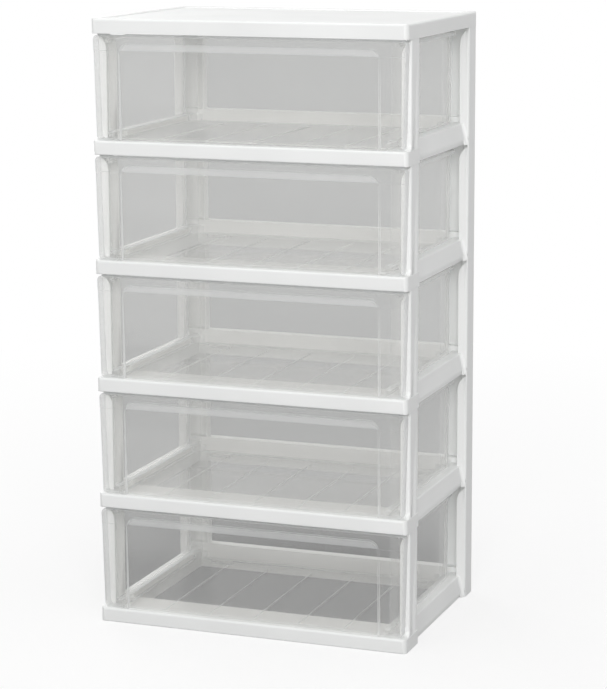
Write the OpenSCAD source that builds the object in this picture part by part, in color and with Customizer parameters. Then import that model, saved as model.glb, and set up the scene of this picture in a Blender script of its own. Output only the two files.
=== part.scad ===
// Five-tier plastic drawer tower: stacked open frames, a top board and five pull-out drawers.
// Origin at the centre of the base, +Z up, drawers open towards -Y. All sizes in millimetres.

/* [Tower] */
// Width over the frame rails
tower_w = 548; // [500:1:620]
// Depth over the frame rails
tower_d = 380; // [350:1:440]
// Height of one tier, from rail to rail
tier_h = 200; // [170:1:240]
// Corner radius of frames and board in plan
plan_r = 8; // [5:0.5:12]

/* [Top board] */
// Height of the top board
board_h = 25; // [20:0.5:40]
// Width of the raised rim round the board's top
rim_w = 13; // [8:0.5:25]
// Depth of the dished top inside the rim
dish_h = 2; // [1:0.5:3]
// Rounding of the board's upper edges
board_edge_r = 4; // [2:0.5:6]

/* [Front and back rails] */
// Wall of the moulded frames and board
wall = 2.5; // [2:0.1:3.2]
// Height of the front rail
deck_h = 24; // [20:0.5:32]
// Depth of the front deck
deck_d = 75; // [66:1:100]
// Rounding of the front rail's long edges
rail_edge_r = 4; // [2:0.5:6]
// Height of the back rail
back_rail_h = 45; // [40:0.5:70]
// Depth of the back rail
back_rail_d = 18; // [12:0.5:24]
// Thickness of the stiffening ribs
rib_t = 2; // [1.5:0.1:3]
// Spacing of the stiffening ribs
rib_gap = 80; // [60:1:95]

/* [Side rails] */
// Height of the side rails
side_rail_h = 36.5; // [34:0.5:39]
// Distance from the tower's side to the side rail's inner face
side_rail_w = 35.5; // [34:0.5:40]
// Draft of the side rail's inner face
rail_draft = 2; // [0:0.5:4]
// Rounding of the side rail's inner edge
rail_lip_r = 1.5; // [1:0.5:3]
// Setback of the side rail's outer face from the posts
rail_set = 6.7; // [6.5:0.1:10]
// Lean of the side rail's outer face, in degrees
rail_lean = 14; // [6:1:18]
// Height at which the side rail's face turns under
rail_belly_z = 9.5; // [6:0.5:14]
// How far the side rail's face turns under
rail_under = 2.3; // [1:0.1:4]
// Rounding of the side rail's upper edge
rail_top_r = 3.5; // [3.3:0.1:5]
// Radius between the side rail's face and the posts
rail_fillet = 6; // [3:0.5:6]

/* [Posts] */
// Thickness of the side frame at the posts
post_t = 17; // [15:0.5:19]
// Depth of a post, seen from the side
post_d = 41; // [34:0.5:50]
// Depth of the ledge in front of the front posts
ledge_d = 22; // [20:0.5:30]
// Radius between the ledge and the front post
ledge_fillet = 9; // [4:0.5:12]
// Inset of the post's outer face from the rails
post_inset = 1; // [0.5:0.5:3]
// Reach of the rear post's flange behind the drawer
flange_w = 47; // [40:0.5:60]
// Rounding of the posts' upright edges
post_r = 3.5; // [2:0.5:5]
// Radius in the upper inner corner of the posts' flanges
flange_r = 28; // [18:0.5:36]

/* [Joint pins] */
// Radius of a joint pin
pin_r = 4; // [3:0.1:4.5]
// Length of a joint pin
pin_l = 30; // [20:1:36]
// Radial clearance of a pin in its socket
pin_fit = 0.1; // [0.05:0.01:0.3]
// Chamfer of a pin's ends
pin_tip = 1; // [0.5:0.1:1.5]

/* [Drawers] */
// Wall of a drawer
drawer_t = 2; // [1.6:0.1:2.8]
// Clearance between the drawer and the rails below it
run_gap = 0.3; // [0.2:0.05:0.8]
// Clearance at each side of the drawer's lower part
side_gap = 1.5; // [1:0.5:3]
// Width of the shoulder that rests on the side rail
shoulder_w = 9; // [6:0.5:11]
// Gap between the drawer's front and the rail above it
top_gap = 2.5; // [1.5:0.5:6]
// Distance from the tower's back to the drawer's back
back_gap = 44; // [30:1:70]
// Height left free above the drawer's sides
rim_gap = 7; // [5:0.5:20]
// Radius of the drawer's upright rear corners
corner_r = 20; // [10:0.5:30]
// Rounding of the drawer's bottom edges
foot_r = 3; // [2.9:0.1:3.5]
// Width of the rim that stands out from the drawer's sides
rim_lip = 8; // [4:0.5:9]
// Height of the rim's turned-down edge
rim_h = 6; // [4:0.5:10]
// Distance from the drawer's back to the stops under it
stop_in = 4; // [0:0.5:20]

/* [Drawer fronts] */
// Setback of the drawer's front from the rail's face
front_back = 1; // [0.5:0.5:4]
// Inset of the front's upper corners from the tower's side
front_in_top = 4; // [3:0.5:8]
// Extra inset of the front's lower corners
front_draft = 4; // [0:0.5:8]
// Rounding of the front's corners
front_r = 7; // [3:0.5:12]
// Width of the raised border beside the pull panel
border_w = 46; // [30:1:70]
// Height of the lip above the pull panel
lip_h = 14; // [8:0.5:24]
// Radius of the pull panel's upper corners
panel_r = 17; // [8:0.5:30]
// Depth of the scoop under the lip
scoop_d = 5; // [3:0.5:8]
// Depth of the pull panel at the crease below the scoop
ridge_d = 2.5; // [1.5:0.5:3]
// Height of the sloping scoop under the lip
scoop_h = 11; // [6:0.5:20]
// Depth of the pull panel at its foot
panel_d = 9; // [5:0.5:14]
// Step of the crease line across the front
crease_d = 1; // [0.5:0.5:2]

/* [Hidden] */
$fn = 48;
tiers = 5;
eps = 1;
half_w = tower_w / 2;
half_d = tower_d / 2;

// Posts: open channels whose flanges point inwards
post_out = half_w - post_inset;
post_in = post_out - post_t;
front_post_y = -half_d + ledge_d;
front_window_y = front_post_y + post_d;
rear_post_y = half_d - post_d;
flange_in = post_out - flange_w;
back_rail_y = half_d - back_rail_d;
deck_y = -half_d + deck_d;

// Side rail: a hollow section whose face leans inwards
rail_in = half_w - side_rail_w;
belly_x = post_out - rail_set;
top_r_z = side_rail_h - rail_top_r;
top_r_x = belly_x - (rail_top_r + (top_r_z - rail_belly_z) * sin(rail_lean)) / cos(rail_lean);

// Joint pins and the bosses round their sockets
post_x = (post_out + post_in) / 2;
pin_front_y = front_post_y + post_d / 2;
pin_rear_y = rear_post_y + post_d / 2;
socket_l = pin_l / 2;
socket_web = 3;
boss_h = socket_l + socket_web;
boss_r = pin_r + pin_fit + wall;

// Drawer body and front, seen from one tier's own base
lower_x = rail_in - side_gap;
body_x = lower_x + shoulder_w;
body_back = half_d - back_gap;
body_z = deck_h + run_gap;
shoulder_z = side_rail_h + run_gap;
body_top = tier_h - rim_gap;
floor_rib_h = 1.5;
floor_rib_gap = 80;
face_y = -half_d + front_back;
hollow_y = face_y + drawer_t + crease_d;
face_x_top = half_w - front_in_top;
face_x_foot = face_x_top - front_draft;
face_z = deck_h + 1;
face_top = tier_h - top_gap;
post_gap = 2;
shell_y = front_post_y - post_gap;
cheek_gap = 1;
cheek_in = face_x_foot + cheek_gap;
lip_z = face_top - lip_h;
crease_z = lip_z - scoop_h;
panel_x = face_x_top - border_w;
stop_h = 6;
stop_w = 40;
stop_t = 6;
stop_x = body_x - 60;
stop_y = body_back - stop_in - stop_t;

// Points of an arc round a centre
function arc(cx, cy, r, from, to, steps = 6) =
    [for (i = [0:steps]) let (a = from + (to - from) * i / steps) [cx + r * cos(a), cy + r * sin(a)]];

// Rectangle with round corners, centred
module round_rect(w, d, r) {
    square([w - 2 * r, d], center = true);
    square([w, d - 2 * r], center = true);
    for (x = [-1, 1], y = [-1, 1])
        translate([x * (w / 2 - r), y * (d / 2 - r)])
            circle(r);
}

// Rectangle with round corners, from one corner to the other
module round_area(x0, y0, x1, y1, r) {
    translate([(x0 + x1) / 2, (y0 + y1) / 2])
        round_rect(x1 - x0, y1 - y0, r);
}

// Box from one corner to the other
module block(x0, y0, z0, x1, y1, z1) {
    translate([x0, y0, z0])
        cube([x1 - x0, y1 - y0, z1 - z0]);
}

// Outline in (y, z), drawn along x from x0 to x1
module along_x(x0, x1) {
    translate([x0, 0, 0])
        rotate([90, 0, 90])
            linear_extrude(x1 - x0)
                children();
}

// Outline in (x, z), drawn along y from y0 to y1
module along_y(y0, y1) {
    translate([0, y1, 0])
        rotate([90, 0, 0])
            linear_extrude(y1 - y0)
                children();
}

// The same thing on the tower's left and right
module both_sides() {
    children();
    mirror([1, 0, 0])
        children();
}

// Outline of a side rail in (x, z); t is the wall, for its hollow, which is open below
module rail_outline(t) {
    foot = t > 0 ? -eps : 0;
    polygon(concat(
        [[rail_in + rail_draft + t, foot], [belly_x - rail_under - t, foot]],
        [[belly_x - t / cos(rail_lean), rail_belly_z]],
        arc(top_r_x, top_r_z, rail_top_r - t, rail_lean, 90),
        t > 0 ? [[rail_in + t, side_rail_h - t]]
            : arc(rail_in + rail_lip_r, side_rail_h - rail_lip_r, rail_lip_r, 90, 180)
    ));
}

// Outline of the front rail in (y, z)
module front_outline() {
    polygon(concat(
        arc(-half_d + rail_edge_r, deck_h - rail_edge_r, rail_edge_r, 90, 180),
        arc(-half_d + rail_edge_r / 2, rail_edge_r / 2, rail_edge_r / 2, 180, 270, 4),
        [[deck_y, 0], [deck_y, deck_h]]
    ));
}

// Plan of a post's leg from y0 to y1, round on the outside and square on the inside, reaching in to x0
module leg_plan(x0, y0, y1) {
    intersection() {
        round_area(x0 - 2 * post_r, y0, post_out, y1, post_r);
        translate([x0, y0])
            square([post_out - x0, y1 - y0]);
    }
}

// Round inner corner between the front post and the ledge at its foot
module ledge_corner() {
    difference() {
        block(cheek_in, front_post_y - ledge_fillet, deck_h - eps, post_out, front_post_y + eps,
            deck_h + ledge_fillet);
        translate([cheek_in - eps, front_post_y - ledge_fillet, deck_h + ledge_fillet])
            rotate([0, 90, 0])
                cylinder(h = post_out - cheek_in + 2 * eps, r = ledge_fillet);
    }
}

// Round upright corner between the side rail's leaning face and the post at y; side points to the window
module rail_corner(y, side) {
    r = rail_fillet * cos(rail_lean);
    difference() {
        along_y(min(y, y + side * r) - eps * (1 - side) / 2, max(y, y + side * r) + eps * (1 + side) / 2)
            translate([rail_fillet, 0])
                rail_outline(0);
        translate([belly_x + rail_fillet, y + side * r, rail_belly_z])
            rotate([0, -rail_lean, 0])
                cylinder(h = 4 * side_rail_h, r = r, center = true);
        block(rail_in - eps, y + side * (r + eps) - eps, -eps, post_out + eps, y + side * (r + eps) + eps,
            side_rail_h + eps);
    }
}

// The four places of the joint pins in plan
module at_pins() {
    for (x = [0, 1], y = [pin_front_y, pin_rear_y])
        mirror([x, 0, 0])
            translate([post_x, y, 0])
                children();
}

// Solid bosses round the pin sockets, tied to the post's outer wall
module bosses(z0, h) {
    at_pins()
        translate([0, 0, z0]) {
            cylinder(h = h, r = boss_r);
            translate([0, -boss_r, 0])
                cube([post_t / 2, 2 * boss_r, h]);
        }
}

// Outside of one frame, before its hollows
module frame_outside() {
    intersection() {
        along_x(-half_w, half_w)
            front_outline();
        union() {
            block(-half_w, -half_d, 0, half_w, front_window_y, deck_h);
            block(-rail_in, -half_d, 0, rail_in, deck_y, deck_h);
        }
    }
    both_sides() {
        along_y(front_window_y - eps, half_d)
            rail_outline(0);
        rail_corner(front_window_y, 1);
        rail_corner(rear_post_y, -1);
        linear_extrude(tier_h) {
            leg_plan(post_in, front_post_y, front_window_y);
            leg_plan(post_in, rear_post_y, half_d);
            leg_plan(flange_in, back_rail_y, half_d);
        }
        ledge_corner();
    }
    block(-post_in - wall, back_rail_y, 0, post_in + wall, half_d, back_rail_h);
}

// What is cut from the upper inner corner of a flange, from y0 to y1
module flange_corner(y0, y1) {
    along_y(y0, y1)
        difference() {
            translate([post_in - eps, tier_h - flange_r])
                square([post_t - wall + eps, flange_r + eps]);
            translate([post_in + flange_r, tier_h - flange_r])
                circle(flange_r);
        }
}

// Everything that is hollow in one frame, before its bosses and ribs are kept back
module frame_hollows() {
    block(-half_w + wall, -half_d + wall, -eps, half_w - wall, front_window_y - wall, deck_h - wall);
    block(-rail_in, -half_d + wall, -eps, rail_in, deck_y - wall, deck_h - wall);
    both_sides() {
        along_y(front_window_y + wall, half_d - wall)
            rail_outline(wall);
        block(rail_in + wall, rear_post_y + wall, -eps, post_out - wall, half_d - wall, side_rail_h - wall);
        block(post_in - eps, front_post_y + wall, deck_h, post_out - wall, front_window_y - wall, tier_h + eps);
        block(post_in - eps, rear_post_y + wall, side_rail_h, post_out - wall, back_rail_y, tier_h + eps);
        block(flange_in + wall, back_rail_y - eps, back_rail_h, post_out - wall, half_d - wall, tier_h + eps);
    }
    block(-post_in, back_rail_y + wall, -eps, post_in, half_d - wall, back_rail_h - wall);
}

// Ribs that stay in the front deck and the back rail
module frame_ribs() {
    for (x = [-3:3])
        block(x * rib_gap - rib_t / 2, -half_d, wall, x * rib_gap + rib_t / 2, deck_y, deck_h);
    for (x = [-2.5:2.5])
        block(x * rib_gap - rib_t / 2, back_rail_y, wall, x * rib_gap + rib_t / 2, half_d, back_rail_h);
}

// One frame, standing on z = 0
module frame() {
    intersection() {
        difference() {
            frame_outside();
            difference() {
                frame_hollows();
                bosses(-2 * eps, boss_h + 2 * eps);
                bosses(tier_h - boss_h, boss_h + 2 * eps);
                frame_ribs();
            }
            both_sides() {
                flange_corner(front_post_y - eps, front_post_y + wall + eps);
                flange_corner(front_window_y - wall - eps, front_window_y + eps);
                flange_corner(rear_post_y - eps, rear_post_y + wall + eps);
            }
            at_pins()
                translate([0, 0, -eps])
                    cylinder(h = socket_l + eps, r = pin_r + pin_fit);
            at_pins()
                translate([0, 0, tier_h - socket_l])
                    cylinder(h = socket_l + eps, r = pin_r + pin_fit);
        }
        linear_extrude(tier_h)
            round_rect(tower_w, tower_d, plan_r);
    }
}

module frame_tier(n) {
    color("white")
        translate([0, 0, (n - 1) * tier_h])
            frame();
}

// Upper outline of the board, for half a width h
module board_outline(h) {
    polygon(concat(
        [[-h, 0], [h, 0]],
        arc(h - board_edge_r, board_h - board_edge_r, board_edge_r, 0, 90),
        arc(-h + board_edge_r, board_h - board_edge_r, board_edge_r, 90, 180)
    ));
}

module top_board() {
    color("white")
        translate([0, 0, tiers * tier_h])
            difference() {
                intersection() {
                    linear_extrude(board_h)
                        round_rect(tower_w, tower_d, plan_r);
                    along_y(-half_d, half_d)
                        board_outline(half_w);
                    along_x(-half_w, half_w)
                        board_outline(half_d);
                }
                translate([0, 0, board_h - dish_h])
                    linear_extrude(dish_h + eps)
                        round_rect(tower_w - 2 * rim_w, tower_d - 2 * rim_w, plan_r);
                difference() {
                    translate([0, 0, -eps])
                        linear_extrude(board_h - dish_h - wall + eps)
                            round_rect(tower_w - 2 * wall, tower_d - 2 * wall, plan_r - wall);
                    bosses(-2 * eps, board_h);
                    for (x = [-3:3])
                        block(x * rib_gap - rib_t / 2, -half_d, wall, x * rib_gap + rib_t / 2, half_d, board_h);
                    for (y = [-1.5:1.5])
                        block(-half_w, y * rib_gap - rib_t / 2, wall, half_w, y * rib_gap + rib_t / 2, board_h);
                }
                at_pins()
                    translate([0, 0, -eps])
                        cylinder(h = socket_l + eps, r = pin_r + pin_fit);
            }
}

// Four pins on top of frame n
module joint_pins(n) {
    color("gainsboro")
        at_pins()
            translate([0, 0, n * tier_h - socket_l])
                rotate_extrude()
                    polygon([
                        [0, 0], [pin_r - pin_tip, 0], [pin_r, pin_tip], [pin_r, pin_l - pin_tip - pin_fit],
                        [pin_r - pin_tip, pin_l - pin_fit], [0, pin_l - pin_fit]
                    ]);
}

// Outline of the drawer's front in (x, z), inset by t
module face_outline(t) {
    top = face_x_top - t;
    foot = face_x_foot - t;
    polygon(concat(
        arc(foot - front_r + t, face_z + front_r, front_r - t, 270, 360),
        arc(top - front_r + t, face_top - front_r, front_r - t, 0, 90),
        arc(-top + front_r - t, face_top - front_r, front_r - t, 90, 180),
        arc(-foot + front_r - t, face_z + front_r, front_r - t, 180, 270)
    ));
}

// Pull panel's outline in (x, z), grown by t
module panel_outline(t) {
    r = panel_r + t;
    polygon(concat(
        [[-panel_x - t, 0], [panel_x + t, 0]],
        arc(panel_x - panel_r, lip_z - panel_r, r, 0, 90),
        arc(-panel_x + panel_r, lip_z - panel_r, r, 90, 180)
    ));
}

// What lies in front of the pull panel, in (y, z): a scoop under the lip, then a lean inwards
module panel_front(t) {
    polygon([
        [face_y - 2 * eps, lip_z + t + eps], [face_y + scoop_d + t, lip_z + t + eps],
        [face_y + scoop_d + t, lip_z], [face_y + ridge_d + t, crease_z],
        [face_y + panel_d + t, face_z - eps], [face_y - 2 * eps, face_z - eps]
    ]);
}

// The pull panel's recess, grown by t
module panel_recess(t) {
    intersection() {
        along_y(face_y - eps, shell_y)
            panel_outline(t);
        along_x(-panel_x - panel_r, panel_x + panel_r)
            panel_front(t);
    }
}

// Drawer body in plan from y0 to its back, for half a width h, inset by t
module body_plan(h, y0, t) {
    round_area(-h + t, y0, h - t, body_back - t, corner_r - t);
    translate([-h + t, y0])
        square([2 * (h - t), corner_r - t]);
}

// Drawer body across its width in (x, z), inset by t
module body_section(t) {
    polygon(concat(
        [[body_x - t, body_top + eps], [-body_x + t, body_top + eps]],
        arc(-body_x + foot_r, shoulder_z + foot_r, foot_r - t, 180, 270),
        [[-lower_x + t, shoulder_z + t]],
        arc(-lower_x + foot_r, body_z + foot_r, foot_r - t, 180, 270),
        arc(lower_x - foot_r, body_z + foot_r, foot_r - t, 270, 360),
        [[lower_x - t, shoulder_z + t]],
        arc(body_x - foot_r, shoulder_z + foot_r, foot_r - t, 270, 360)
    ));
}

// Drawer body along its depth in (y, z) from y0, inset by t
module body_side(y0, t) {
    polygon(concat(
        [[body_back - t, body_top + eps], [y0 - eps, body_top + eps], [y0 - eps, body_z + t]],
        arc(body_back - foot_r, body_z + foot_r, foot_r - t, 270, 360)
    ));
}

// Drawer body from y0 to its back, inset by t
module body(y0, t) {
    intersection() {
        union() {
            translate([0, 0, body_z + t])
                linear_extrude(body_top - body_z)
                    body_plan(lower_x, y0, t);
            translate([0, 0, shoulder_z + t])
                linear_extrude(t > 0 ? tier_h : body_top - shoulder_z)
                    body_plan(body_x, y0, t);
        }
        along_y(y0 - eps, body_back + eps)
            body_section(t);
        along_x(-body_x - eps, body_x + eps)
            body_side(y0, t);
    }
}

// Everything that a drawer is hollow in
module drawer_hollows() {
    body(shell_y - eps, drawer_t);
    along_y(hollow_y, shell_y)
        face_outline(drawer_t);
    // open top, cut clear through the rim
    translate([0, 0, body_top - corner_r])
        linear_extrude(2 * corner_r)
            body_plan(body_x, shell_y - eps, drawer_t);
}

// What stays inside the hollows: the pull panel, the body's walls behind the front and the floor's ribs
module drawer_webs() {
    panel_recess(drawer_t);
    along_y(face_y, shell_y)
        difference() {
            body_section(0);
            body_section(drawer_t);
        }
    for (x = [-2:2])
        block(x * floor_rib_gap - rib_t / 2, shell_y, body_z, x * floor_rib_gap + rib_t / 2,
            body_back - 2 * corner_r, body_z + drawer_t + floor_rib_h);
}

// Rim with a turned-down edge, round the top of the drawer's sides and back
module rim() {
    translate([0, 0, body_top - rim_h])
        difference() {
            linear_extrude(rim_h)
                body_plan(body_x, shell_y, -rim_lip);
            translate([0, 0, -eps])
                linear_extrude(rim_h - drawer_t + eps)
                    body_plan(body_x, shell_y + drawer_t, drawer_t - rim_lip);
        }
}

// One drawer, standing in a tier whose base is at z = 0
module drawer() {
    difference() {
        union() {
            along_y(face_y, shell_y)
                face_outline(0);
            body(hollow_y, 0);
            rim();
            for (x = [-stop_x, stop_x])
                block(x - stop_w / 2, stop_y, body_z - stop_h, x + stop_w / 2, stop_y + stop_t, body_z + eps);
        }
        difference() {
            drawer_hollows();
            drawer_webs();
        }
        panel_recess(0);
        // shallow step that draws the crease line beside the pull panel
        block(-half_w, face_y - eps, 0, half_w, face_y + crease_d, crease_z);
    }
}

module drawer_tier(n) {
    color("lightgray", 0.5)
        translate([0, 0, (n - 1) * tier_h])
            drawer();
}

top_board();
frame_tier(1);  // frame_1
frame_tier(2);  // frame_2
frame_tier(3);  // frame_3
frame_tier(4);  // frame_4
frame_tier(5);  // frame_5
joint_pins(1);  // joint_pins_1
joint_pins(2);  // joint_pins_2
joint_pins(3);  // joint_pins_3
joint_pins(4);  // joint_pins_4
joint_pins(5);  // joint_pins_5
drawer_tier(1);  // drawer_1
drawer_tier(2);  // drawer_2
drawer_tier(3);  // drawer_3
drawer_tier(4);  // drawer_4
drawer_tier(5);  // drawer_5
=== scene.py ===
import math

import bmesh
import bpy
from mathutils import Matrix, Vector
from mathutils.bvhtree import BVHTree
from mathutils.geometry import intersect_line_line, intersect_point_line


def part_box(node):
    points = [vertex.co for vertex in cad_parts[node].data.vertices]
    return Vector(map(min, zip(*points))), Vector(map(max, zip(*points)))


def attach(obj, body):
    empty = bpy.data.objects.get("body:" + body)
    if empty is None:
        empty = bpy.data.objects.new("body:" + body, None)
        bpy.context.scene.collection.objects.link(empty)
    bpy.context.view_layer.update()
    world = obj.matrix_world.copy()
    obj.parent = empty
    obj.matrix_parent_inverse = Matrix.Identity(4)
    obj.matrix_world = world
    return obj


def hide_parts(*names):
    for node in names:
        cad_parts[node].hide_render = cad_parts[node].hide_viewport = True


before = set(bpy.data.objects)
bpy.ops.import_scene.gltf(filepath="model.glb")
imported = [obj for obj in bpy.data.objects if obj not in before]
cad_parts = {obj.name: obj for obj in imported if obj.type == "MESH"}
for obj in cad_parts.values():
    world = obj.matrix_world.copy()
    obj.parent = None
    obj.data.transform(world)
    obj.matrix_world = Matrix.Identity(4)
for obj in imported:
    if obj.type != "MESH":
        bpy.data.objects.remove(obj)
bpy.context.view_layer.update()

mm = 0.001


# ---------------------------------------------------------------- tier frames
# Each tier has one white frame: a front rail with its deck, two side rails, a back rail and four posts.
# It is injection-moulded polypropylene with a fine satin skin and small radii left by the mould's edges.
# The frames stack post on post.

frame_names = sorted(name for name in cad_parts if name.startswith("frame_"))
frame_edge_r = 0.6 * mm

# How a CAD mesh is cleaned and its edges rounded. A radius may take side_kept of a side's length and
# gap_kept of the gap to the next edge. An edge with room for less than least_share of it stays sharp.
# A point over stray_off radii off the skin is a stray, and edges within stray_reach radii of it stay sharp.
weld_gap = 0.12 * mm
flat_within = math.radians(0.5)
sharp_over = math.radians(28.0)
straight_on = math.radians(150)
side_kept = 0.9
gap_kept = 0.45
least_share = 0.15
fold_area = 4e-6
small_face_corners = 12
rounding_tries = 3
stray_off = 0.6
stray_reach = 5
flats_weight = 90

# the two shades that the white plastic's clouds run between
white_light = (0.865, 0.872, 0.866)
white_dark = (0.835, 0.842, 0.836)


def join_flats(mould, angle):
    """Join the triangles of each flat into a few large faces. No join may close a ring, so holes stay."""
    joined = True
    while joined:
        joined = False
        for edge in list(mould.edges):
            if not edge.is_valid or len(edge.link_faces) != 2 or edge.calc_face_angle(0.0) > angle:
                continue
            one, other = edge.link_faces
            seam = set(one.edges) & set(other.edges)
            if len(set(one.verts) & set(other.verts)) == len(seam) + 1:
                bmesh.utils.face_join((one, other))
                joined = True
    bmesh.ops.dissolve_limit(mould, angle_limit=angle, verts=mould.verts, edges=[])


def off_segment(point, start, end):
    """How far a point lies from a straight edge."""
    share = intersect_point_line(point, start, end)[1]
    return (point - start.lerp(end, min(1.0, max(0.0, share)))).length


def edge_room(edge, sharp):
    """How far the two sides of a rounded edge may step back before they run past a neighbouring edge."""
    room = math.inf
    ends = [corner.co for corner in edge.verts]
    for corner in edge.verts:
        ahead = edge.other_vert(corner).co - corner.co
        for face in edge.link_faces:
            for side in corner.link_edges:
                if side is edge or face not in side.link_faces:
                    continue
                along = side.other_vert(corner).co - corner.co
                turn = ahead.angle(along)
                if turn > straight_on:
                    continue
                if side in sharp:
                    room = min(room, side_kept * min(along.length, ahead.length) * math.sin(turn / 2))
                else:
                    room = min(room, side_kept * along.length * math.sin(turn))
    for face in edge.link_faces:
        for across in face.edges:
            if across in sharp and not set(across.verts) & set(edge.verts):
                others = [corner.co for corner in across.verts]
                gaps = [off_segment(end, *others) for end in ends]
                gaps += [off_segment(end, *ends) for end in others]
                room = min(room, gap_kept * min(gaps))
    return room


def folded_spots(mesh):
    """Where the outline of a face crosses itself, because its rounded edges step back too far."""
    mesh.calc_loop_triangles()
    spread = {}
    for triangle in mesh.loop_triangles:
        spread[triangle.polygon_index] = spread.get(triangle.polygon_index, 0.0) + triangle.area
    spots = []
    for face in mesh.polygons:
        if spread[face.index] - face.area < fold_area:
            continue
        corners = [mesh.vertices[corner].co for corner in face.vertices]
        sides = list(zip(corners, corners[1:] + corners[:1]))
        for count, (a, b) in enumerate(sides):
            for c, d in sides[count + 2:]:
                meeting = intersect_line_line(a, b, c, d)
                if not meeting:
                    continue
                one, other = meeting
                if (one - a).dot(one - b) < 0 and (other - c).dot(other - d) < 0:
                    spots.append(one)
        if len(corners) < small_face_corners:
            spots.append(face.center)
    return spots


def finished_mesh(piece):
    """The mesh of a piece with its modifiers applied."""
    evaluated = piece.evaluated_get(bpy.context.evaluated_depsgraph_get())
    return bpy.data.meshes.new_from_object(evaluated)


def rounded_moulding(node_name, edge_r, plastic):
    """A CAD moulding of one plastic, with its triangles joined into flats and its sharp edges rounded."""
    mould = bmesh.new()
    mould.from_mesh(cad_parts[node_name].data)
    bmesh.ops.remove_doubles(mould, verts=mould.verts, dist=weld_gap)
    join_flats(mould, flat_within)
    weight = mould.edges.layers.float.new("bevel_weight_edge")
    sharp = {edge for edge in mould.edges if edge.calc_face_angle(0.0) > sharp_over}
    for edge in sharp:
        share = min(1.0, edge_room(edge, sharp) / edge_r)
        edge.smooth = share > least_share
        edge[weight] = share if edge.smooth else 0.0
    skin = BVHTree.FromBMesh(mould)
    mesh = bpy.data.meshes.new(f"{node_name}_moulded")
    mould.to_mesh(mesh)
    mould.free()
    mesh.shade_smooth()
    piece = bpy.data.objects.new(f"{node_name}_moulded", mesh)
    bpy.context.scene.collection.objects.link(piece)
    rounding = piece.modifiers.new("edge_radius", "BEVEL")
    rounding.width = edge_r
    rounding.segments = 2
    rounding.limit_method = "WEIGHT"
    rounding.use_clamp_overlap = False
    flats = piece.modifiers.new("flats_stay_flat", "WEIGHTED_NORMAL")
    flats.weight = flats_weight
    flats.keep_sharp = True

    # where a rounded corner would still leave the skin or fold a face, its edges stay sharp
    for _ in range(rounding_tries):
        finished = finished_mesh(piece)
        points = [point.co for point in finished.vertices]
        strays = [point for point in points if skin.find_nearest(point)[3] > stray_off * edge_r]
        strays += folded_spots(finished)
        if not strays:
            break
        for edge, share in zip(mesh.edges, mesh.attributes["bevel_weight_edge"].data):
            if share.value <= 0:
                continue
            ends = [mesh.vertices[end].co for end in edge.vertices]
            if any((end - stray).length < stray_reach * edge_r for end in ends for stray in strays):
                share.value = 0.0
                edge.use_edge_sharp = True
        mesh.update()
        piece.update_tag()
        bpy.context.view_layer.update()
    bpy.data.objects.remove(piece)
    low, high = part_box(node_name)
    for point in finished.vertices:
        point.co = [min(most, max(least, value)) for least, value, most in zip(low, point.co, high)]
    finished.materials.clear()
    finished.materials.append(plastic)
    return finished


def stand_in(mesh, first_name, node_name, body):
    """One moulding's mesh, lifted from the first node's tier to its own, in the place of its CAD node."""
    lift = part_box(node_name)[0][2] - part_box(first_name)[0][2]
    own = mesh.copy()
    own.transform(Matrix.Translation((0.0, 0.0, lift)))
    piece = bpy.data.objects.new(f"{node_name}_moulding", own)
    bpy.context.scene.collection.objects.link(piece)
    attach(piece, body)
    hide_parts(node_name)
    return piece


def satin_plastic(name, colour, shade, roughness):
    """Moulded polypropylene: two near shades in soft clouds, a fine grain and faint waves."""
    material = bpy.data.materials.new(name)
    material.use_nodes = True
    nodes, links = material.node_tree.nodes, material.node_tree.links
    shader = nodes["Principled BSDF"]
    place = nodes.new("ShaderNodeTexCoord")

    clouds = nodes.new("ShaderNodeTexNoise")
    clouds.inputs["Scale"].default_value = 7.0
    clouds.inputs["Detail"].default_value = 2.0
    tint = nodes.new("ShaderNodeValToRGB")
    tint.color_ramp.elements[0].position = 0.35
    tint.color_ramp.elements[0].color = (*shade, 1.0)
    tint.color_ramp.elements[1].position = 0.65
    tint.color_ramp.elements[1].color = (*colour, 1.0)
    links.new(place.outputs["Object"], clouds.inputs["Vector"])
    links.new(clouds.outputs["Fac"], tint.inputs["Fac"])
    links.new(tint.outputs["Color"], shader.inputs["Base Color"])

    grain = nodes.new("ShaderNodeTexNoise")
    grain.inputs["Scale"].default_value = 900.0
    grain.inputs["Detail"].default_value = 3.0
    links.new(place.outputs["Object"], grain.inputs["Vector"])
    gloss = nodes.new("ShaderNodeMapRange")
    gloss.inputs["To Min"].default_value = roughness - 0.05
    gloss.inputs["To Max"].default_value = roughness + 0.07
    links.new(grain.outputs["Fac"], gloss.inputs["Value"])
    links.new(gloss.outputs["Result"], shader.inputs["Roughness"])

    waves = nodes.new("ShaderNodeBump")
    waves.inputs["Strength"].default_value = 0.25
    waves.inputs["Distance"].default_value = 1.2 * mm
    links.new(clouds.outputs["Fac"], waves.inputs["Height"])
    skin = nodes.new("ShaderNodeBump")
    skin.inputs["Strength"].default_value = 0.12
    skin.inputs["Distance"].default_value = 0.05 * mm
    links.new(grain.outputs["Fac"], skin.inputs["Height"])
    links.new(waves.outputs["Normal"], skin.inputs["Normal"])
    links.new(skin.outputs["Normal"], shader.inputs["Normal"])
    shader.inputs["IOR"].default_value = 1.49
    return material


white_plastic = satin_plastic("white_plastic", white_light, white_dark, 0.36)

frame_mesh = rounded_moulding("frame_1", frame_edge_r, white_plastic)
for name in frame_names:
    stand_in(frame_mesh, "frame_1", name, "carcass")


# ---------------------------------------------------------------- joint pins
# Four plain pins lie in the posts' sockets at each seam, and locate a frame on the one below it.
# They are moulded too, with the dull skin of a part that nobody sees.

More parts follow.
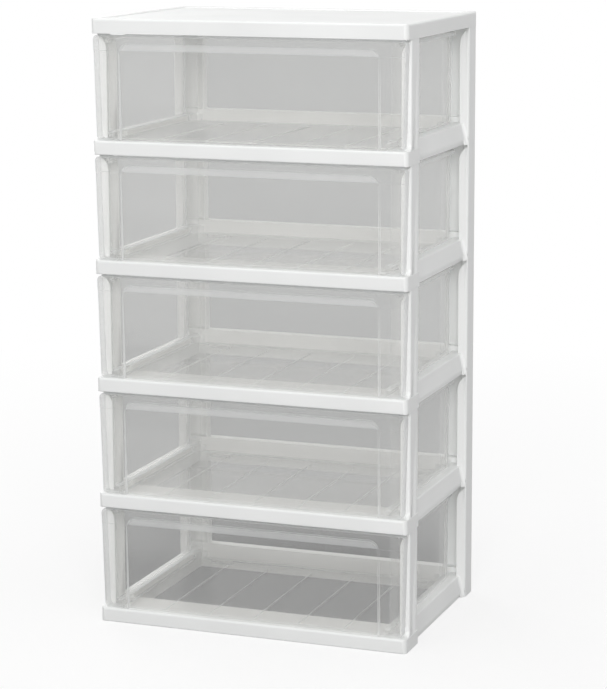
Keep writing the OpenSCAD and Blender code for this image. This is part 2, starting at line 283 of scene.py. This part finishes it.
pin_names = sorted(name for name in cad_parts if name.startswith("joint_pins_"))
pin_plastic = satin_plastic("pin_plastic", (0.80, 0.80, 0.79), (0.76, 0.76, 0.75), 0.55)
pin_r = 4 * mm
pin_chamfer = 1 * mm
pin_sides = 32
pin_sharp_over = math.radians(30)


def math_node(tree, operation, *values):
    """The result of a math node. Each of its inputs is a number or the socket that feeds it."""
    node = tree.nodes.new("ShaderNodeMath")
    node.operation = operation
    for count, value in enumerate(values):
        if isinstance(value, (int, float)):
            node.inputs[count].default_value = value
        else:
            tree.links.new(value, node.inputs[count])
    return node.outputs[0]


def pin_set_tree():
    """Geometry nodes: one pin with chamfered ends, swept along its axis, at a rectangle's four corners."""
    tree = bpy.data.node_groups.new("pin_set", "GeometryNodeTree")
    face = tree.interface
    face.new_socket("Pins", in_out="OUTPUT", socket_type="NodeSocketGeometry")
    for label in ("Radius", "Length", "Chamfer", "Across", "Along"):
        face.new_socket(label, in_out="INPUT", socket_type="NodeSocketFloat")
    face.new_socket("Plastic", in_out="INPUT", socket_type="NodeSocketMaterial")
    nodes, links = tree.nodes, tree.links
    sizes = nodes.new("NodeGroupInput")
    result = nodes.new("NodeGroupOutput")

    # the axis runs up from the origin and has a ring at each end of both chamfers
    axis = nodes.new("GeometryNodeCurvePrimitiveLine")
    top = nodes.new("ShaderNodeCombineXYZ")
    links.new(sizes.outputs["Length"], top.inputs["Z"])
    links.new(top.outputs["Vector"], axis.inputs["End"])
    rings = nodes.new("GeometryNodeResampleCurve")
    rings.inputs["Count"].default_value = 4
    links.new(axis.outputs["Curve"], rings.inputs["Curve"])
    ring = nodes.new("GeometryNodeInputIndex").outputs["Index"]
    past_ring = [math_node(tree, "GREATER_THAN", ring, count + 0.5) for count in range(3)]
    chamfer = sizes.outputs["Chamfer"]
    straight = math_node(tree, "MULTIPLY_ADD", chamfer, -2.0, sizes.outputs["Length"])
    height = 0.0
    for past, step in zip(past_ring, (chamfer, straight, chamfer)):
        height = math_node(tree, "MULTIPLY_ADD", past, step, height)
    spot = nodes.new("ShaderNodeCombineXYZ")
    links.new(height, spot.inputs["Z"])
    placed = nodes.new("GeometryNodeSetPosition")
    links.new(rings.outputs["Curve"], placed.inputs["Geometry"])
    links.new(spot.outputs["Vector"], placed.inputs["Position"])

    # the two rings at the ends are narrower by the chamfer
    middle = math_node(tree, "SUBTRACT", past_ring[0], past_ring[2])
    narrow = math_node(tree, "SUBTRACT", sizes.outputs["Radius"], chamfer)
    radius = math_node(tree, "MULTIPLY_ADD", middle, chamfer, narrow)
    shaped = nodes.new("GeometryNodeSetCurveRadius")
    links.new(placed.outputs["Geometry"], shaped.inputs["Curve"])
    links.new(radius, shaped.inputs["Radius"])
    circle = nodes.new("GeometryNodeCurvePrimitiveCircle")
    circle.inputs["Resolution"].default_value = pin_sides
    circle.inputs["Radius"].default_value = 1.0
    pin = nodes.new("GeometryNodeCurveToMesh")
    pin.inputs["Fill Caps"].default_value = True
    links.new(shaped.outputs["Curve"], pin.inputs["Curve"])
    links.new(circle.outputs["Curve"], pin.inputs["Profile Curve"])
    links.new(radius, pin.inputs["Scale"])

    corners = nodes.new("GeometryNodeMeshGrid")
    corners.inputs["Vertices X"].default_value = 2
    corners.inputs["Vertices Y"].default_value = 2
    links.new(sizes.outputs["Across"], corners.inputs["Size X"])
    links.new(sizes.outputs["Along"], corners.inputs["Size Y"])
    placed_pins = nodes.new("GeometryNodeInstanceOnPoints")
    links.new(corners.outputs["Mesh"], placed_pins.inputs["Points"])
    links.new(pin.outputs["Mesh"], placed_pins.inputs["Instance"])
    real = nodes.new("GeometryNodeRealizeInstances")
    links.new(placed_pins.outputs["Instances"], real.inputs["Geometry"])
    finish = nodes.new("GeometryNodeSetMaterial")
    links.new(real.outputs["Geometry"], finish.inputs["Geometry"])
    links.new(sizes.outputs["Plastic"], finish.inputs["Material"])
    links.new(finish.outputs["Geometry"], result.inputs["Pins"])
    return tree


pin_tree = pin_set_tree()
pin_sockets = [item for item in pin_tree.interface.items_tree if item.in_out == "INPUT"]
socket_ids = {item.name: item.identifier for item in pin_sockets}

for name in pin_names:
    low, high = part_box(name)
    maker = bpy.data.objects.new(f"{name}_maker", bpy.data.meshes.new(f"{name}_maker"))
    bpy.context.scene.collection.objects.link(maker)
    nodes_modifier = maker.modifiers.new("pin_set", "NODES")
    nodes_modifier.node_group = pin_tree
    nodes_modifier[socket_ids["Radius"]] = pin_r
    nodes_modifier[socket_ids["Length"]] = high[2] - low[2]
    nodes_modifier[socket_ids["Chamfer"]] = pin_chamfer
    nodes_modifier[socket_ids["Across"]] = high[0] - low[0] - 2 * pin_r
    nodes_modifier[socket_ids["Along"]] = high[1] - low[1] - 2 * pin_r
    nodes_modifier[socket_ids["Plastic"]] = pin_plastic
    made = finished_mesh(maker)
    bpy.data.objects.remove(maker)
    made.transform(Matrix.Translation(((low[0] + high[0]) / 2, (low[1] + high[1]) / 2, low[2])))
    made.shade_smooth()
    made.set_sharp_from_angle(angle=pin_sharp_over)
    pins = bpy.data.objects.new(f"{name}_set", made)
    bpy.context.scene.collection.objects.link(pins)
    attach(pins, "carcass")
    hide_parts(name)


# ---------------------------------------------------------------- top board
# A white hollow board closes the tower. Its top is dished inside a raised rim, so that things stay on it.
# It is one moulding with ribs under its top, and it sits on the highest frame's posts.

board_edge_r = 0.7 * mm
board_plastic = satin_plastic("board_plastic", white_light, white_dark, 0.42)

board_mesh = rounded_moulding("top_board", board_edge_r, board_plastic)
stand_in(board_mesh, "top_board", "top_board", "carcass")


# ---------------------------------------------------------------- drawers
# Five wide drawers of natural polypropylene, cloudy but see-through, each one moulding with its front.
# Their shoulders slide on the side rails, and the front has a scoop under its upper edge to pull it by.

drawer_names = sorted(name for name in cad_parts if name.startswith("drawer_"))
drawer_edge_r = 0.4 * mm
milk = (0.962, 0.97, 0.974, 1.0)
cover_per_face = 0.055
ridge_gain = 2.5
grazing_limit = 1.03


def clear_moulding(name):
    """Natural polypropylene: most light passes straight, a little is scattered, and it shines softly."""
    material = bpy.data.materials.new(name)
    material.use_nodes = True
    nodes, links = material.node_tree.nodes, material.node_tree.links
    nodes.remove(nodes["Principled BSDF"])
    output = nodes["Material Output"]
    place = nodes.new("ShaderNodeTexCoord")

    # flow of the melt: faint clouds that change how much is scattered
    flow = nodes.new("ShaderNodeTexNoise")
    flow.inputs["Scale"].default_value = 5.0
    flow.inputs["Detail"].default_value = 3.0
    flow.inputs["Roughness"].default_value = 0.6
    links.new(place.outputs["Object"], flow.inputs["Vector"])
    density = nodes.new("ShaderNodeMapRange")
    density.inputs["To Min"].default_value = -1.15 * cover_per_face
    density.inputs["To Max"].default_value = -0.85 * cover_per_face
    links.new(flow.outputs["Fac"], density.inputs["Value"])
    ridge = nodes.new("ShaderNodeAttribute")
    ridge.attribute_name = "ridge"
    packed = math_node(material.node_tree, "MULTIPLY_ADD", ridge.outputs["Fac"], ridge_gain, 1.0)
    milky = math_node(material.node_tree, "MULTIPLY", density.outputs["Result"], packed)

    # a slanting look passes through more plastic: cover = 1 - exp(-density / cosine)
    slant = nodes.new("ShaderNodeLayerWeight")
    slant.inputs["Blend"].default_value = 0.5
    cosine = math_node(material.node_tree, "SUBTRACT", grazing_limit, slant.outputs["Facing"])
    path = math_node(material.node_tree, "DIVIDE", milky, cosine)
    through = math_node(material.node_tree, "EXPONENT", path)

    clear = nodes.new("ShaderNodeBsdfTransparent")
    clear.inputs["Color"].default_value = (0.998, 0.996, 0.992, 1.0)
    face = nodes.new("ShaderNodeBsdfDiffuse")
    face.inputs["Color"].default_value = milk
    glow = nodes.new("ShaderNodeBsdfTranslucent")
    glow.inputs["Color"].default_value = milk
    body = nodes.new("ShaderNodeMixShader")
    body.inputs["Fac"].default_value = 0.6
    links.new(face.outputs["BSDF"], body.inputs[1])
    links.new(glow.outputs["BSDF"], body.inputs[2])
    wall = nodes.new("ShaderNodeMixShader")
    links.new(through, wall.inputs["Fac"])
    links.new(body.outputs["Shader"], wall.inputs[1])
    links.new(clear.outputs["BSDF"], wall.inputs[2])

    # soft shine of the surface, stronger at a slanting look, on a skin with faint waves
    skin = nodes.new("ShaderNodeBump")
    skin.inputs["Strength"].default_value = 0.2
    skin.inputs["Distance"].default_value = 0.8 * mm
    links.new(flow.outputs["Fac"], skin.inputs["Height"])
    steep = math_node(material.node_tree, "POWER", slant.outputs["Facing"], 5.0)
    shine = nodes.new("ShaderNodeMapRange")
    shine.inputs["To Min"].default_value = 0.03
    shine.inputs["To Max"].default_value = 0.15
    links.new(steep, shine.inputs["Value"])
    gloss = nodes.new("ShaderNodeBsdfGlossy")
    gloss.inputs["Color"].default_value = (1.0, 1.0, 1.0, 1.0)
    gloss.inputs["Roughness"].default_value = 0.2
    links.new(skin.outputs["Normal"], gloss.inputs["Normal"])
    whole = nodes.new("ShaderNodeMixShader")
    links.new(shine.outputs["Result"], whole.inputs["Fac"])
    links.new(wall.outputs["Shader"], whole.inputs[1])
    links.new(gloss.outputs["BSDF"], whole.inputs[2])
    links.new(whole.outputs["Shader"], output.inputs["Surface"])
    return material


drawer_mesh = rounded_moulding("drawer_1", drawer_edge_r, clear_moulding("clear_plastic"))

# ribs, steps and rounded corners hold more plastic along the look than the flat walls do, so they are
# milkier, and the front's border is a little milkier than the pull panel that it frames
ridge_width = 8 * mm
ridge_share = 1.0
border_share = 0.35
step_share = 2.2
facing_front = 0.98
front_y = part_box("drawer_1")[0][1]
border_back = front_y + 2.5 * mm
front_back = front_y + 20 * mm
ridges = drawer_mesh.attributes.new("ridge", "FLOAT", "FACE")
for face in drawer_mesh.polygons:
    corners = [drawer_mesh.vertices[corner].co for corner in face.vertices]
    length = max((a - b).length for a in corners for b in corners)
    if abs(face.normal.y) < facing_front and face.center.y < front_back:
        ridges.data[face.index].value = step_share
    elif face.area < ridge_width * length:
        ridges.data[face.index].value = ridge_share
    elif face.center.y < border_back:
        ridges.data[face.index].value = border_share
for name in drawer_names:
    stand_in(drawer_mesh, "drawer_1", name, name)

# a look through the tower crosses many clear faces, and light is scattered from wall to wall in it
bpy.context.scene.cycles.transparent_max_bounces = 32
bpy.context.scene.cycles.max_bounces = 16
bpy.context.scene.cycles.diffuse_bounces = 12


# ---------------------------------------------------------------- floor and backdrop
# A round pale floor that fades into a plain white surround.
# Seen through the drawers both are a soft grey, as the inside of a studio is; the floor's grey carries
# painted shade, darker under and near the tower.

floor_r = 2.4
floor_sides = 96
floor_near = 0.35
# how far out the painted shade on the floor seen through the drawers reaches before its grey is lightest
shade_fade_end = 0.8
pure_white = (1.0, 1.0, 1.0, 1.0)
studio_grey = (0.97, 0.985, 0.99, 1.0)


def floor_paint():
    """White to the eye, a plain grey to the light, and a deeper grey through the drawers, with painted
    shade that darkens it under the tower.
    """
    material = bpy.data.materials.new("floor_paint")
    material.use_nodes = True
    nodes, links = material.node_tree.nodes, material.node_tree.links
    shader = nodes["Principled BSDF"]
    shader.inputs["Base Color"].default_value = (0.25, 0.25, 0.25, 1.0)
    shader.inputs["Roughness"].default_value = 0.8
    output = nodes["Material Output"]
    place = nodes.new("ShaderNodeTexCoord")
    far = nodes.new("ShaderNodeVectorMath")
    far.operation = "LENGTH"
    links.new(place.outputs["Object"], far.inputs[0])

    # what the eye sees: white that keeps the shadow near the tower
    white = nodes.new("ShaderNodeEmission")
    white.inputs["Color"].default_value = pure_white
    white.inputs["Strength"].default_value = 1.0
    lit = nodes.new("ShaderNodeBsdfDiffuse")
    lit.inputs["Color"].default_value = (0.97, 0.97, 0.97, 1.0)
    fade = nodes.new("ShaderNodeMapRange")
    fade.inputs["From Min"].default_value = floor_near
    fade.inputs["From Max"].default_value = floor_r
    fade.inputs["To Min"].default_value = 0.7
    fade.inputs["To Max"].default_value = 1.0
    links.new(far.outputs["Value"], fade.inputs["Value"])
    seen = nodes.new("ShaderNodeMixShader")
    links.new(fade.outputs["Result"], seen.inputs["Fac"])
    links.new(lit.outputs["BSDF"], seen.inputs[1])
    links.new(white.outputs["Emission"], seen.inputs[2])

    # what the drawers let through: grey, with painted shade that makes it darkest under and near the tower
    # and lighter further from it
    grey = nodes.new("ShaderNodeEmission")
    grey.inputs["Color"].default_value = studio_grey
    shade_under_tower = nodes.new("ShaderNodeMapRange")
    shade_under_tower.inputs["From Min"].default_value = floor_near
    shade_under_tower.inputs["From Max"].default_value = shade_fade_end
    shade_under_tower.inputs["To Min"].default_value = 0.155
    shade_under_tower.inputs["To Max"].default_value = 0.39
    links.new(far.outputs["Value"], shade_under_tower.inputs["Value"])
    links.new(shade_under_tower.outputs["Result"], grey.inputs["Strength"])

    ray = nodes.new("ShaderNodeLightPath")
    behind = math_node(material.node_tree, "GREATER_THAN", ray.outputs["Transparent Depth"], 0.5)
    view = nodes.new("ShaderNodeMixShader")
    links.new(behind, view.inputs["Fac"])
    links.new(seen.outputs["Shader"], view.inputs[1])
    links.new(grey.outputs["Emission"], view.inputs[2])
    looks = ray.outputs["Is Camera Ray"]
    for kind in ("Is Glossy Ray", "Is Transmission Ray"):
        looks = math_node(material.node_tree, "MAXIMUM", looks, ray.outputs[kind])
    either = nodes.new("ShaderNodeMixShader")
    links.new(looks, either.inputs["Fac"])
    links.new(shader.outputs["BSDF"], either.inputs[1])
    links.new(view.outputs["Shader"], either.inputs[2])
    links.new(either.outputs["Shader"], output.inputs["Surface"])
    return material


disc = bmesh.new()
bmesh.ops.create_circle(disc, cap_ends=True, segments=floor_sides, radius=floor_r)
floor_mesh = bpy.data.meshes.new("studio_floor")
disc.to_mesh(floor_mesh)
disc.free()
floor = bpy.data.objects.new("studio_floor", floor_mesh)
bpy.context.scene.collection.objects.link(floor)
floor_mesh.materials.append(floor_paint())

world = bpy.data.worlds.new("studio")
bpy.context.scene.world = world
world.use_nodes = True
sky, sky_links = world.node_tree.nodes, world.node_tree.links
surround = sky["Background"]
surround.inputs["Color"].default_value = pure_white
surround.inputs["Strength"].default_value = 0.52
white = sky.new("ShaderNodeBackground")
white.inputs["Color"].default_value = pure_white
white.inputs["Strength"].default_value = 1.0
behind_plastic = sky.new("ShaderNodeBackground")
behind_plastic.inputs["Color"].default_value = studio_grey
look = sky.new("ShaderNodeTexCoord")
parts = sky.new("ShaderNodeSeparateXYZ")
sky_links.new(look.outputs["Generated"], parts.inputs["Vector"])
height = sky.new("ShaderNodeMapRange")
height.inputs["From Min"].default_value = -0.22
height.inputs["From Max"].default_value = -0.07
height.inputs["To Min"].default_value = 0.425
height.inputs["To Max"].default_value = 0.475
sky_links.new(parts.outputs["Z"], height.inputs["Value"])
sky_links.new(height.outputs["Result"], behind_plastic.inputs["Strength"])
ray = sky.new("ShaderNodeLightPath")
through_plastic = math_node(world.node_tree, "GREATER_THAN", ray.outputs["Transparent Depth"], 0.5)
camera_only = math_node(world.node_tree, "MULTIPLY", through_plastic, ray.outputs["Is Camera Ray"])
plain = sky.new("ShaderNodeMixShader")
sky_links.new(camera_only, plain.inputs["Fac"])
sky_links.new(white.outputs["Background"], plain.inputs[1])
sky_links.new(behind_plastic.outputs["Background"], plain.inputs[2])
seen = math_node(world.node_tree, "MAXIMUM", ray.outputs["Is Camera Ray"], ray.outputs["Is Glossy Ray"])
seen = math_node(world.node_tree, "MAXIMUM", seen, ray.outputs["Is Transmission Ray"])
pick = sky.new("ShaderNodeMixShader")
sky_links.new(seen, pick.inputs["Fac"])
sky_links.new(surround.outputs["Background"], pick.inputs[1])
sky_links.new(plain.outputs["Shader"], pick.inputs[2])
sky_links.new(pick.outputs["Shader"], sky["World Output"].inputs["Surface"])


# ---------------------------------------------------------------- lamps
# A large soft lamp in front and to the right, a weaker one overhead, and one behind and to the left.
# The surround fills the rest.

def soft_lamp(name, place, target, size, power):
    """A square lamp of a size in metres and a power in watts that looks at its target."""
    light = bpy.data.lights.new(name, "AREA")
    light.shape = "SQUARE"
    light.size = size
    light.energy = power
    lamp = bpy.data.objects.new(name, light)
    lamp.location = place
    lamp.rotation_euler = (Vector(target) - Vector(place)).to_track_quat("-Z", "Y").to_euler()
    bpy.context.scene.collection.objects.link(lamp)


soft_lamp("key_lamp", (2.0, -5.5, 2.4), (0.0, 0.0, 0.6), 3.0, 196.0)
soft_lamp("top_lamp", (0.1, -0.4, 3.2), (0.0, 0.0, 1.0), 1.2, 15.0)
soft_lamp("back_lamp", (-3.6, 3.4, 1.4), (0.0, 0.0, 0.5), 3.0, 95.0)


# ---------------------------------------------------------------- camera
# A long lens in front and to the right of the tower, at about the height of its top.

camera_place = (1.442, -3.789, 1.256)
camera_yaw = 20.48
camera_down = 9.76
camera_roll = -0.21

lens = bpy.data.cameras.new("camera")
lens.lens = 126.1
lens.sensor_width = 36.0
lens.shift_y = -0.08
camera = bpy.data.objects.new("camera", lens)
turn = (Matrix.Rotation(math.radians(camera_yaw), 4, "Z")
        @ Matrix.Rotation(math.radians(90 - camera_down), 4, "X")
        @ Matrix.Rotation(math.radians(camera_roll), 4, "Z"))
camera.matrix_world = Matrix.Translation(camera_place) @ turn
bpy.context.scene.collection.objects.link(camera)
bpy.context.scene.camera = camera

bpy.context.scene.view_settings.view_transform = "Standard"
